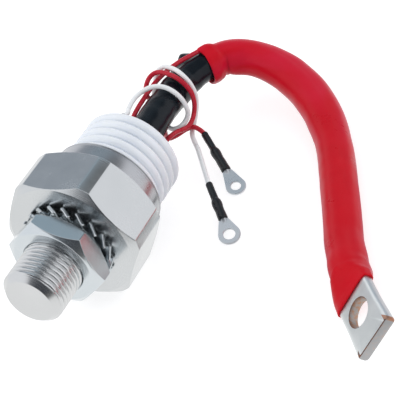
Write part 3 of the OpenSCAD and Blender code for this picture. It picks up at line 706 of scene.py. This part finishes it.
def swell(s, a):
    """What the cuff, its fold and the wrinkles add to the red sleeve's radius."""
    low, high = max(0, math.cos(a - LOWER_SIDE)), max(0, math.cos(a - UPPER_SIDE))
    rim = 0.30 + 0.35 * low ** 2 + 0.14 * math.sin(4 * a + 0.6) + 0.10 * math.sin(7 * a + s)
    r = 0.6 * high * hump(s, 3.5, 3) + (1 - smooth(1.6, 5.0, s)) * (1 - 0.7 * high) * rim
    # the fold behind the cuff, the hollow after it and a wrinkle across it
    r -= (0.58 * (1 - high) + 0.23 * low) * hump(s, 5.2, 0.7)
    r -= 0.45 * low * hump(s, 7.4, 2.2)
    r += 0.30 * hump(s - 2.9 - 0.6 * math.sin(a * 2), 0, 0.55) * math.cos(a - 1.0)
    r += 1.45 * tongue(a) * (1 - smooth(1.0, 7.0, s))
    r += 0.60 * high * hump(s, 11, 4.5) + 0.35 * low * smooth(8, 18, s) * (1 - smooth(46, 56, s))
    r -= 0.30 * (1 - smooth(0, 0.7, s))
    # the bend flattens it
    r += 0.55 * smooth(16, 33, s) * (1 - smooth(58, 72, s)) * abs(math.sin(a))
    r += 0.10 * noise.noise(Vector((math.cos(a), math.sin(a), s * 0.05)) * 1.3)
    return r + 0.04 * noise.noise(Vector((math.cos(a) * 2, math.sin(a) * 2, s * 0.22)))


def sleeve_line():
    """The red sleeve's middle line: the CAD model's route, moved sideways to the photographed outline."""
    line = spline(mm(RED_ROUTE) + back_of(LUG, BARREL_BACK, 15.5, 12, 9.5, MOUTH), 0.6)
    total, run, moved = length_of(line), 0, []
    for i, q in enumerate(line):
        run += (q - line[i - 1]).length if i else 0
        behind = total - run + MOUTH
        along = direction(line, i)
        out = Vector((-along.y, along.x, 0)).normalized()
        aside = 0.75 * hump(run, 7.5, 2.4) - 1.05 * hump(run, 24, 9)
        aside -= 0.30 * hump(run, 80, 14) + 0.35 * hump(run, 37, 5)
        by_lug = Vector((0.905, 0.427, 0)) * 1.35 * (1 - smooth(18.5, 33, behind)) * smooth(9.5, 17.5, behind)
        moved.append(q + out * aside + by_lug)
    return moved


def red_lead():
    """Sleeve with a flared cuff over the black one, pressed flat over the lug at its other end."""
    line = sleeve_line()
    total, frames = length_of(line), carried(line)
    r0, n = RED_D / 2, 84
    wide, thick = (LUG.to_3x3() @ Vector(axis) for axis in ((0, 1, 0), (0, 0, 1)))
    rings = []
    for p, d, u, w, s in frames:
        behind = total - s + MOUTH
        hy, hz, power = sleeve_section(behind)
        near_lug = smooth(27, 19, behind)
        ring = []
        for a in turns(n):
            side = u * math.cos(a) + w * math.sin(a)
            pos = side * (r0 - 0.04 + swell(s, a))
            if near_lug > 0:
                y, z = side.dot(wide), side.dot(thick)
                f = squareness(y, z, power)
                pressed = wide * (hy * y * f) + thick * (hz * z * f) + (side - wide * y - thick * z) * r0
                pos = pos.lerp(pressed, near_lug)
            # a tongue reaches over the thin lead at the rim, and the far mouth is cut slanting
            shift = -(1.2 * tongue(a) + 0.6 * max(0, math.cos(a - 1.3))) * (1 - smooth(0, 4, s))
            shift -= (0.075 * pos.dot(wide) + 0.27) * smooth(15, MOUTH, behind)
            ring.append(tuple(p + pos + d * shift))
        rings.append(ring)
    # inside of the cuff, up to its rim
    inner = hoops(frames, ((6, 5.30), (3, 5.34), (1, 5.45)), n)
    q = frames[0][0]
    inner.append([tuple(q + (Vector(v) - q) * 0.93) for v in rings[0]])
    # the far mouth turns in round the palm
    lip, lip_y, lip_z = [], 7.6, 2.1
    steps = ((0.16, 7.5, 1.98), (0.2, 7.3, 1.80), (0.1, 7.08, 1.62), (-0.2, 7.0, 1.54), (-3.0, 7.0, 1.54))
    for ahead, hy, hz in steps:
        ring = []
        for q in rings[-1]:
            flat = LUG.inverted() @ Vector(q)
            y, z = flat.y / lip_y, flat.z / lip_z
            f = squareness(y, z, 6)
            ring.append(tuple(LUG @ Vector((flat.x + ahead, y * hy * f, z * hz * f))))
        lip.append(ring)
    b = Build()
    b.grid(inner + rings + lip, False)
    return b.piece("red_sleeve", [RED_SLEEVE], 60, "red_sleeving"), line, total


def thin_lead(which, first, route, last, material, slot):
    line = spline(first + mm(route) + last, 0.35)
    b = Build()
    b.grid(tube_rings(carried(line), lambda s, a: THIN_D / 2 + 0.015 * math.sin(s * 0.9 + a), 20), False)
    return b.piece(which + "_lead", [material], 50, slot), line


def shrink_piece(which, frame_at, neck, wide, narrow, seed):
    """Shrink sleeve in two steps behind the neck, with the crimp's shape showing through."""
    n, rows, eased = 40, 48, 0.35
    total = wide + narrow
    along = [eased + (total - 2 * eased) * i / rows for i in range(rows + 1)]
    rings = []
    for x in [0.0, 0.1] + along + [total - 0.1, total]:
        step = smooth(narrow - 0.9, narrow + 0.7, x)
        r = 1.15 + 0.35 * step
        r += 0.10 * hump(x, narrow + 1.6, 0.9) - 0.10 * hump(x, narrow + 4.4, 1.1)
        r -= 0.12 * (1 - smooth(0, eased, min(x, total - x)))
        ring = []
        for a in turns(n):
            c, s = math.cos(a), math.sin(a)
            q = r + noise.noise(Vector((c + seed, s, x * 0.5))) * 0.06
            flat = 0.06 * step * math.cos(2 * a)
            ring.append(tuple(frame_at @ Vector((x - total - neck, (q + flat) * c, (q - flat) * s))))
        rings.append(ring)
    # its front turns in round the terminal's barrel
    rings += [oval(frame_at, x - neck, r, r, n) for x, r in ((0, 1.22), (-1.5, 1.2))]
    b = Build()
    b.grid(rings, False)
    return b.piece(which + "_shrink", [BLACK_SHRINK], 50, "black_shrink")


def ring_plate(frame_at, outer, hole, neck):
    """Teardrop plate with a hole and eased edges, as rings round the hole."""
    n, r, half, ease = 96, outer / 2, 1.5, 0.13
    touch = math.pi - math.atan2(half, neck) - math.acos(r / math.hypot(neck, half))

    def out(a):
        a = apart(a, 0)
        if abs(a) <= touch:
            return r
        # straight side from the circle to the neck's corner, then the neck's end
        sign = 1 if a > 0 else -1
        p, q = Vector((r * math.cos(touch), sign * r * math.sin(touch))), Vector((-neck, sign * half))
        d, e = Vector((math.cos(a), math.sin(a))), q - p
        side = (p.x * -e.y + e.x * p.y) / (d.x * -e.y + e.x * d.y)
        end = -neck / d.x if d.x < -1e-6 else 99
        return soft_min(side, end, 0.3)

    # how far in from the edge, and how high
    wall = [(ease, 1), (0.03, 0.72), (0, 0.45), (0, -0.45), (0.03, -0.72), (ease, -1)]
    rings = []
    for a in turns(n):
        edge = out(a)
        section = [(hole / 2 + inset, z) for inset, z in wall]
        section += [(edge - inset, z) for inset, z in reversed(wall)]
        rings.append([tuple(frame_at @ Vector((rad * math.cos(a), rad * math.sin(a), z * PLATE_T / 2)))
                      for rad, z in section])
    return rings


def terminal(which, frame_at, outer, hole, neck, wide):
    """Plate, and the barrel that shows a little between plate and shrink sleeve."""
    b = Build()
    b.grid(ring_plate(frame_at, outer, hole, neck), True)
    b.grid([oval(frame_at, x - neck, ry, rz, 32)
            for x, ry, rz in ((0.4 - wide, 1.15, 1.15), (-0.9, 1.17, 1.15), (-0.1, 1.2, 0.85),
                              (0.6, 1.3, 0.60), (1.4, 1.4, 0.43), (2.0, 1.3, 0.36))], False)
    return b.piece(which + "_terminal", [TERMINAL_TIN], 40, "tinned_terminal")


def lug_piece():
    """Flattened tube: palm with one hole, shoulder and barrel, with copper showing where it was cut."""
    hole, half_t, half_w, back, front, n = 4.2, 1.5, 7.05, 11.0, 11.2, 360
    tinned, cut_copper, edge_copper, cut_grey, bare_copper = range(5)

    def edge(a, x_reach, y_reach):
        return soft_min(x_reach / max(abs(math.cos(a)), 1e-6), y_reach / max(abs(math.sin(a)), 1e-6), 0.5)

    def skewed(x, y):
        """The palm leans a little to one side, and its sheared end isn't quite square."""
        ahead = smooth(0, 11, x)
        return x + (0.3 - 0.045 * y) * ahead, y + 0.0565 * max(0, x + 6.5) + 0.057 * y * ahead

    # the wall of the hole, then the outside: how far in from the side and from the sheared end, and how high
    bore = [(0.28, 1), (0.08, 0.91), (0, 0.72), (0, 0.24), (0, -0.24), (0, -0.72), (0.08, -0.91), (0.28, -1)]
    outside = [(1.20, 0.10, -1), (0.62, 0.05, -0.96), (0.24, 0.0, -0.84), (0.05, 0, -0.62), (0, 0, -0.34),
               (0, 0, 0.34), (0.05, 0, 0.62), (0.24, 0.0, 0.84), (0.62, 0.05, 0.96), (1.20, 0.12, 1)]
    rings, sheared = [], []
    for a in turns(n):
        c, s = math.cos(a), math.sin(a)
        ring = [((hole + inset) * c, (hole + inset) * s, z * half_t) for inset, z in bore]
        for side, end, z in outside:
            r = edge(a, (front - end) if c > 0 else back, half_w - side)
            ring.append((*skewed(r * c, r * s), z * half_t))
        rings.append([tuple(LUG @ Vector(p)) for p in ring])
        sheared.append(c > 0 and edge(a, front, half_w) * c > front - 0.5)

    def mat(i, k):
        """The hole's wall, the plated faces, and the sheared end with its bare corner and edges."""
        if k < 7:
            return cut_copper if 0 < k < 6 else edge_copper
        if k in (7, 17) or not sheared[i]:
            return tinned
        if 28 < math.degrees(TAU * i / n) < 34:
            return bare_copper
        return edge_copper if k in (15, 16) else cut_grey

    b = Build()
    b.grid(rings, True, mat)
    # distance from the hole, half width, half thickness and squareness of the shoulder and the barrel
    loft = []
    for x, hy, hz, power in ((-9.6, 6.5, 1.45, 6), (-11.2, 6.3, 1.7, 4.5), (-12.6, 5.4, 2.4, 3),
                             (-13.8, 4.4, 3.4, 2.2), (-14.8, 4.0, 3.8, 2), (-BARREL_BACK, 3.9, 3.9, 2)):
        ring = []
        for a in turns(64):
            c, s = math.cos(a), math.sin(a)
            f = squareness(c, s, power)
            ring.append(tuple(LUG @ Vector((x, hy * c * f, hz * s * f))))
        loft.append(ring)
    b.grid(loft, False, tinned)
    return b.piece("cable_lug", [TIN, CUT_COPPER, EDGE_COPPER, CUT_GREY, BARE_COPPER], 30, "tinned_copper")


black_obj = black_lead()
red_obj, red_line, red_total = red_lead()
lug_obj = lug_piece()
# frame, distance from the hole to the neck, lengths of the shrink sleeve's wide and narrow steps, seed
gate_shrink_obj = shrink_piece("gate", GATE, 5.9, 7.7, 6.9, 1.7)
cathode_shrink_obj = shrink_piece("cathode", CATHODE, 7.0, 9.8, 7.8, 5.1)
# frame, outer diameter, hole, distance from the hole to the neck, length of the shrink sleeve's wide step
gate_terminal_obj = terminal("gate", GATE, 7.0, 3.7, 5.9, 7.7)
cathode_terminal_obj = terminal("cathode", CATHODE, 6.6, 3.2, 7.0, 9.8)
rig.cord(red_obj, exit=RED_ROUTE[0], length=red_total * MM, diameter=RED_D * MM, far_end="fitting",
        stiffness="stiff", lay="loose", path=path_of(red_line), with_pieces=[black_obj, lug_obj])
# the thin leads end 1 mm inside their shrink sleeves
gate_obj, gate_line = thin_lead("gate", [Vector((GATE_X, y, GATE_Z)) for y in (GATE_TOP - 1.5, GATE_TOP)],
                                GATE_ROUTE, back_of(GATE, 20.5, 19.5), WHITE_WIRE, "white_wire")
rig.cord(gate_obj, exit=tuple(gate_line[0] * MM), length=length_of(gate_line) * MM, diameter=THIN_D * MM,
        far_end="connector", stiffness="limp", lay="loose", path=path_of(gate_line),
        with_pieces=[gate_shrink_obj, gate_terminal_obj])
cath_obj, cath_line = thin_lead("cathode", [], CATHODE_ROUTE, back_of(CATHODE, 24.6, 23.6),
                                RED_WIRE, "red_wire")
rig.cord(cath_obj, exit=tuple(cath_line[0] * MM), length=length_of(cath_line) * MM, diameter=THIN_D * MM,
        far_end="connector", stiffness="limp", lay="loose", path=path_of(cath_line),
        with_pieces=[cathode_shrink_obj, cathode_terminal_obj])


# -------------------- metal body
def chamfer(face_r, corner_r, slope, first, n):
    """Rows of (r, y) up a cone, from a hexagon's turned face towards its corners."""
    all_rows = 14
    steps = [first + (corner_r - face_r) * i / all_rows for i in range(n)]
    return [(face_r + d, d * slope) for d in steps]


def turned_hexagon(rows, af, turn, flat_r, ease, base, n):
    """Rows of (r, y) round the stud's axis, cut off by a hexagon's sides; its corners are at turn degrees."""
    rings = []
    for a in turns(n):
        off = (math.degrees(a) - turn) % 60 - 30
        side = af / 2 / math.cos(math.radians(off))
        rings.append([about_stud(soft_min(side, r, ease) if r > flat_r else r, base + y, a) for r, y in rows])
    return rings


def thread_rings(cols):
    """Helical thread with rounded roots, fading into the smooth chamfered tip."""
    per_turn = 14
    count = int((STUD_LEN + THREAD_IN) / PITCH * per_turn)
    ys = [-STUD_LEN, -STUD_LEN + 0.04]
    ys += [-STUD_LEN + (STUD_LEN + THREAD_IN) * i / count for i in range(1, count + 1)]

    def groove(y, a):
        crest = abs((y / PITCH + a / TAU) % 1 - 0.5) * 2  # 1 at the crest, 0 at the root
        t = min(1, max(0, (crest - 0.08) / 0.60))
        return 1 - t + math.sin(TAU * t) / TAU * 0.25

    rings = []
    for i, y in enumerate(ys):
        up = y + STUD_LEN
        tip = soft_min(STUD_R, TIP_R + (STUD_R - TIP_R) * up / TIP_LEN, 0.25) if up > 0.001 else TIP_R
        depth = THREAD_DEPTH * smooth(0.7, 3.2, up)
        ring = []
        for a in turns(cols):
            r = min(tip, STUD_R - depth * groove(y, a)) if up > 0.3 else tip
            ring.append(about_stud(r if i else r - 0.18, y, a))  # the very end is drawn in
        rings.append(ring)
    return rings


def stud_base():
    slope = math.tan(math.radians(HEX_CHAMFER))
    end = (CORNER_R - FACE_R) * slope
    rows = [(FACE_R - 0.5, 0.0), (FACE_R, 0.0)] + chamfer(FACE_R, CORNER_R, slope, 0.12, 14)
    rows += [(CORNER_R - 0.03, end - 0.03), (CORNER_R, end + 0.12)]
    rows += [(CORNER_R, y) for y in (2.4, 4, 6, 8.5)]
    rows += [(r, HEX_H - y) for r, y in reversed(rows[:-1])]
    core = 8.0  # an opening that the thread and the pedestal close
    b = Build()
    b.grid(turned_hexagon([(core, 0)] + rows + [(core, HEX_H)], HEX_AF, turn=0, flat_r=FACE_R - 0.3,
                          ease=0.14, base=0, n=720), True)
    pedestal = [(PEDESTAL_R, HEX_H - 0.5), (PEDESTAL_R, PEDESTAL_TOP - 0.1), (PEDESTAL_R - 0.1, PEDESTAL_TOP)]
    b.grid([[about_stud(r, y, a) for a in turns(64)] for r, y in pedestal], False)
    cols = 144
    tip_face = [[about_stud(r, -STUD_LEN, a) for a in turns(cols)] for r in (0.6, 3.5, 6.0)]
    b.grid(tip_face + thread_rings(cols), False, mat=1)
    b.piece("stud_base", [NICKEL, TIP_NICKEL], 28, "nickel_base")


def lock_washer():
    """Spring ring whose teeth leave it flat, widen and twist out of its plane."""
    b = Build()
    mid, h, bore = -WASHER_SET / 2, WASHER_T / 2, STUD_R + 0.15
    b.lathe(rounded(oblong(bore, TOOTH_RING_R, mid - h, mid + h), [0.1, 0.05, 0.05, 0.1]))
    root, steps, c = TOOTH_RING_R - 0.6, 12, 0.12
    # the tip's eased end: how far back from it, and how much thinner and narrower
    tip = ((0.26, 0), (0.12, 0.05), (0.03, 0.15), (0, 0.27))
    for first in turns(TEETH):
        base = first + math.radians(FIRST_TOOTH)
        rings = []
        for k in range(steps + 4):
            u = min(1, k / steps)
            back, eased = tip[max(0, k - steps)]
            r = root + (TOOTH_TIP_R - root) * u - (back if k >= steps else 0)
            turn = -math.radians(TWIST) * u
            w = (TOOTH_ROOT_W + (TOOTH_W - TOOTH_ROOT_W) * u) / 2
            ring = []
            for x, y in rounded(oblong(-w, w, -h, h), [c] * 4, 2):
                x, y = x * (1 - eased / w), y * (1 - eased / h)
                across = x * math.cos(turn) - y * math.sin(turn)
                up = x * math.sin(turn) + y * math.cos(turn)
                ring.append((r * math.cos(base) - across * math.sin(base), mid + up,
                             -(r * math.sin(base) + across * math.cos(base))))
            rings.append(ring)
        b.grid(rings, False)
    b.piece("lock_washer", [ZINC], 35, "zinc_steel")


def hex_nut():
    bore, sink, beyond = STUD_R - 0.46, 0.85, 16.6  # beyond the corners, so that the sides cut it
    rows = [(NUT_FACE_R - 0.4, 0), (NUT_FACE_R - 0.1, 0), (NUT_FACE_R + 0.03, 0.045)]
    rows += chamfer(NUT_FACE_R, NUT_CORNER_R, NUT_SLOPE, 0.15, 15)
    rows += [(beyond, 2.7), (beyond, 3.2), (beyond, NUT_H / 2)]
    rows += [(r, NUT_H - y) for r, y in reversed(rows[:-1])]
    # the countersinks at both ends of the bore
    inner = [(bore + sink, 0), (bore + sink - 0.06, 0.05), (bore + 0.05, sink * 0.62), (bore, sink * 0.7)]
    rows += [(r, NUT_H - y) for r, y in inner] + inner[::-1]
    b = Build()
    b.grid(turned_hexagon(rows, NUT_AF, NUT_TURN, flat_r=NUT_FACE_R, ease=0.2, base=-WASHER_SET - NUT_H,
                          n=540), True)
    b.piece("hex_nut", [ZINC], 32, "zinc_steel")


def housing():
    """Turned ring with a groove below its rim, and a rebate inside that for the flange."""
    step, groove = RING_R - 0.1, RING_R - 0.35
    foot, bore, rebate, rebate_y = 14.5, 13, 17.0, RING_TOP - 0.8
    b = Build()
    b.lathe(rounded([(foot, HEX_H), (RING_R, HEX_H), (RING_R, RING_TOP - 1.0), (groove, RING_TOP - 0.85),
                     (groove, RING_TOP - 0.4), (step, RING_TOP - 0.3), (step, RING_TOP), (rebate, RING_TOP),
                     (rebate, rebate_y), (bore, rebate_y), (bore, HEX_H + 1), (foot, HEX_H + 1)],
                    [0, 0.25, 0.2, 0.1, 0.1, 0.08, 0.2, 0, 0, 0, 0, 0]), 192)
    b.piece("housing_ring", [RING_METAL], 35, "steel_ring")


def insulator():
    """Ceramic tube with rounded ribs and a neck for the cap."""
    neck, arc = 13.4, 16
    prof = [(CERAMIC_BORE_R, RING_TOP), (GROOVE_R - 0.1, RING_TOP)]
    for i in range(RIBS):
        c = RING_TOP + (i + 0.5) * RIB_PITCH
        for k in range(arc + 1):
            a = -math.pi / 2 + math.pi * k / arc
            prof.append((RIB_R - RIB_ROUND + RIB_ROUND * math.cos(a), c + RIB_ROUND * math.sin(a)))
        if i < RIBS - 1:
            prof += [(GROOVE_R + 0.12, c + RIB_ROUND + 0.06), (GROOVE_R, c + RIB_PITCH / 2),
                     (GROOVE_R + 0.12, c + RIB_PITCH - RIB_ROUND - 0.06)]
    last = RING_TOP + RIBS * RIB_PITCH
    prof += [(13.9, last + 0.02), (13.55, last + 0.12), (neck, last + 0.4), (neck, CERAMIC_TOP - 0.5),
             (13.25, CERAMIC_TOP - 0.12), (12.9, CERAMIC_TOP), (CERAMIC_BORE_R + 0.3, CERAMIC_TOP),
             (CERAMIC_BORE_R, CERAMIC_TOP - 0.3)]
    b = Build()
    b.lathe(prof, 192,
            wobble=lambda r, y, a: r + 0.03 * math.sin(2 * a + y) + 0.02 * math.sin(5 * a + 0.7 * y))
    b.piece("insulator", [CERAMIC], 60, "ceramic")


def cap_and_tubes():
    b = Build()
    b.lathe(rounded(oblong(CAP_BORE_R, CAP_R, CERAMIC_TOP, CAP_TOP), [0, 0.1, 0.45, 0.1]))
    b.piece("metal_cap", [CAP_METAL], 40, "cap_metal")

    def crimp(r, y, a):
        """Three dents round the main lead's tube, on its outside only."""
        dent = smooth(CAP_TOP + 0.6, CAP_TOP + 1.3, y) * (1 - smooth(TUBE_TOP - 0.9, TUBE_TOP - 0.3, y))
        return r - 0.22 * max(0, math.cos(3 * a)) ** 4 * dent if r > 4.8 else r

    prof = [(TUBE_BORE_R, CERAMIC_TOP)]
    prof += [(TUBE_R, CERAMIC_TOP + (TUBE_TOP - CERAMIC_TOP) * i / 14) for i in range(14)]
    prof += [(4.93, TUBE_TOP - 0.03), (4.8, TUBE_TOP), (TUBE_BORE_R, TUBE_TOP)]
    b = Build()
    b.lathe(prof, 96, wobble=crimp)
    b.piece("lead_tube", [CAP_METAL], 40, "cap_metal")
    b = Build()
    b.lathe(rounded(oblong(GATE_TUBE_BORE_R, GATE_TUBE_R, CERAMIC_TOP, GATE_TOP), [0, 0, 0.12, 0.12]),
            40, (GATE_X, GATE_Z))
    b.piece("gate_tube", [CAP_METAL], 40, "cap_metal")


stud_base()
lock_washer()
hex_nut()
housing()
insulator()
cap_and_tubes()

# -------------------- pieces inside keep their CAD shape
INSIDE = ((HIDDEN_METAL, "weld_flange clamp_cup molybdenum_disc contact_disc disc_spring_1 disc_spring_2 "
                         "disc_spring_3 gate_pin inner_gate_wire"),
          (INNER_COPPER, "cathode_post inner_braid"), (SILICON, "silicon_wafer"),
          (LAMINATE, "insulating_washer gate_pin_sleeve"))
for material, names in INSIDE:
    for name in names.split():
        mesh = NODES[name].data
        if not mesh.materials:
            mesh.materials.append(material)
        for i in range(len(mesh.materials)):
            mesh.materials[i] = material

# -------------------- floor, background and light
WHITE = (1.0, 1.0, 1.0)
FLOOR_COLOUR, FLOOR_SEEN, FLOOR_GLOW = (0.84, 0.84, 0.85), (0.60, 0.60, 0.605), 0.66
FLOOR_HALF, FLOOR_Z = 1.5, -0.02052
PLAIN_LIGHT, WALL = (0.80, 0.81, 0.83), (0.94, 0.95, 0.98)
DARK_SIDE, DARK_SIDE_FLAT = (0.4515, -0.886, 0.1045), (0.454, -0.891, 0)
# what the metal shows of the room: colour, direction, and how close to it the colour starts and is full
ROOM = [((0.34, 0.38, 0.43), (-0.47, 0.62, 0.63), 0.93, 0.97),
        ((0.34, 0.42, 0.48), (0.0, 0.62, 0.78), 0.87, 0.95),
        ((0.14, 0.16, 0.18), (0.04, -0.91, 0.40), 0.955, 0.98),
        ((0.10, 0.105, 0.115), (0.28, -0.52, 0.81), 0.81, 0.90),
        ((0.17, 0.18, 0.19), (0.36, 0.57, 0.74), 0.945, 0.985),
        ((0.33, 0.36, 0.43), (0.15, 0.98, 0.10), 0.90, 0.97),
        ((0.05, 0.055, 0.065), DARK_SIDE, 0.84, 0.915)]
# and of the floor, painted on for metal only (painted shade and painted reflections): colour, direction from the
# stud's tip, how close to it, and the distances in metres from the tip where it starts, is full, fades and is gone
# first zone: a painted reflection of the room's dark side, from 55 mm past the tip
FLOOR_PAINTED_SHADES = [((0.08, 0.08, 0.08), DARK_SIDE_FLAT, 0.875, 0.945, 0.055, 0.10, 5, 6),
                # next three: painted shade to the right of the body in grey, with a painted pink reflection of the red
                # sleeve, faint nearer in and stronger farther out
                ((0.34, 0.36, 0.36), (0.74, 0.67, 0), 0.965, 0.99, 0.060, 0.074, 0.078, 0.092),
                ((0.46, 0.42, 0.43), (0.74, 0.67, 0), 0.965, 0.99, 0.036, 0.044, 0.058, 0.068),
                ((0.62, 0.50, 0.53), (0.74, 0.67, 0), 0.965, 0.99, 0.080, 0.092, 0.12, 0.14),
                # a painted grey-blue reflection of a darker room far out towards +y
                ((0.33, 0.36, 0.43), (0.39, 0.92, 0), 0.94, 0.98, 0.20, 0.26, 5, 6),
                # painted shade close beside the tip towards +x, darkening what the nut's faces reflect
                ((0.15, 0.16, 0.17), (0.96, -0.26, 0), 0.94, 0.98, 0.035, 0.050, 5, 6)]
LAMP_AIM = (0.03, 0.03, 0)


def painted_floor_shades(t):
    """The white floor as metal shows it, with the room's dark side painted on where it runs towards that, and other
    zones of painted shade and painted reflection.
    """
    from_tip = operate(t, "VectorMath", "SUBTRACT", add(t, "TexCoord").outputs["Object"],
                       (0, -STUD_LEN * MM, FLOOR_Z))
    reach, way = operate(t, "VectorMath", "LENGTH", from_tip), operate(t, "VectorMath", "NORMALIZE", from_tip)
    colour = WHITE
    for shade, axis, low, high, start, full, fade, gone in FLOOR_PAINTED_SHADES:
        part = operate(t, "Math", "MULTIPLY", ramp_value(t, reach, 0, 1, start, full),
                       ramp_value(t, reach, 1, 0, fade, gone))
        part = operate(t, "Math", "MULTIPLY", part, towards(t, way, axis, low, high))
        colour = mixed(t, part, colour, shade)
    return colour


def stage():
    """The floor: white to the camera, plain to the light, and shaded to metal."""
    mesh = bpy.data.meshes.new("floor")
    corners = ((-1, -1), (1, -1), (1, 1), (-1, 1))
    mesh.from_pydata([(x * FLOOR_HALF, y * FLOOR_HALF, FLOOR_Z) for x, y in corners], [], [(0, 1, 2, 3)])
    floor = bpy.data.objects.new("floor", mesh)
    scene.collection.objects.link(floor)
    m = bpy.data.materials.new("floor_white")
    m.use_nodes = True
    t = m.node_tree
    t.nodes.clear()
    lit, pale = (add(t, "BsdfDiffuse", Color=(*c, 1)) for c in (FLOOR_COLOUR, FLOOR_SEEN))
    glow, shown, both = add(t, "Emission", Strength=FLOOR_GLOW), add(t, "Emission"), add(t, "AddShader")
    link(t, pale.outputs[0], both.inputs[0])
    link(t, glow.outputs[0], both.inputs[1])
    # metal sees this floor with its painted shade and painted reflections; the camera and the light see the plain one
    link(t, painted_floor_shades(t), shown.inputs["Color"])
    path = add(t, "LightPath")
    glossy = mix_shader(t, path.outputs["Is Glossy Ray"], lit, shown)
    seen = mix_shader(t, seen_directly(t, path), glossy, both)
    link(t, seen.outputs[0], add(t, "OutputMaterial").inputs["Surface"])
    mesh.materials.append(m)
    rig.stage(floor)


def world():
    """A white room with a grey ceiling, a grey corner behind the object and a dark side."""
    w = bpy.data.worlds.new("world")
    scene.world = w
    w.use_nodes = True
    t = w.node_tree
    t.nodes.clear()
    walls, view = WALL, add(t, "TexCoord").outputs["Generated"]
    for colour, axis, low, high in ROOM:
        walls = mixed(t, towards(t, view, axis, low, high), walls, colour)
    room = add(t, "Background")
    plain, white = (add(t, "Background", Color=(*c, 1)) for c in (PLAIN_LIGHT, WHITE))
    link(t, walls, room.inputs["Color"])
    path = add(t, "LightPath")
    lit = mix_shader(t, path.outputs["Is Glossy Ray"], plain, room)
    seen = mix_shader(t, seen_directly(t, path), lit, white)
    link(t, seen.outputs[0], add(t, "OutputWorld").inputs["Surface"])


def lamp(name, at, size, power):
    """A soft lamp that metal doesn't show."""
    data = bpy.data.lights.new(name, "AREA")
    data.shape = "RECTANGLE"
    data.size, data.size_y = size
    data.energy = power
    obj = bpy.data.objects.new(name, data)
    obj.visible_glossy = False
    obj.location = at
    obj.rotation_euler = (Vector(LAMP_AIM) - Vector(at)).to_track_quat("-Z", "Y").to_euler()
    scene.collection.objects.link(obj)


stage()
world()
# name, place, size, power
lamp("key", (-0.75, -0.43, 0.55), (1.1, 0.8), 3.2)
lamp("fill", (0.80, 0.62, 0.35), (0.9, 0.6), 1.9)

json.dump({"cad": CAD_BOX, "visual": [list(c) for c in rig.bounds()]}, open("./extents.json", "w"))
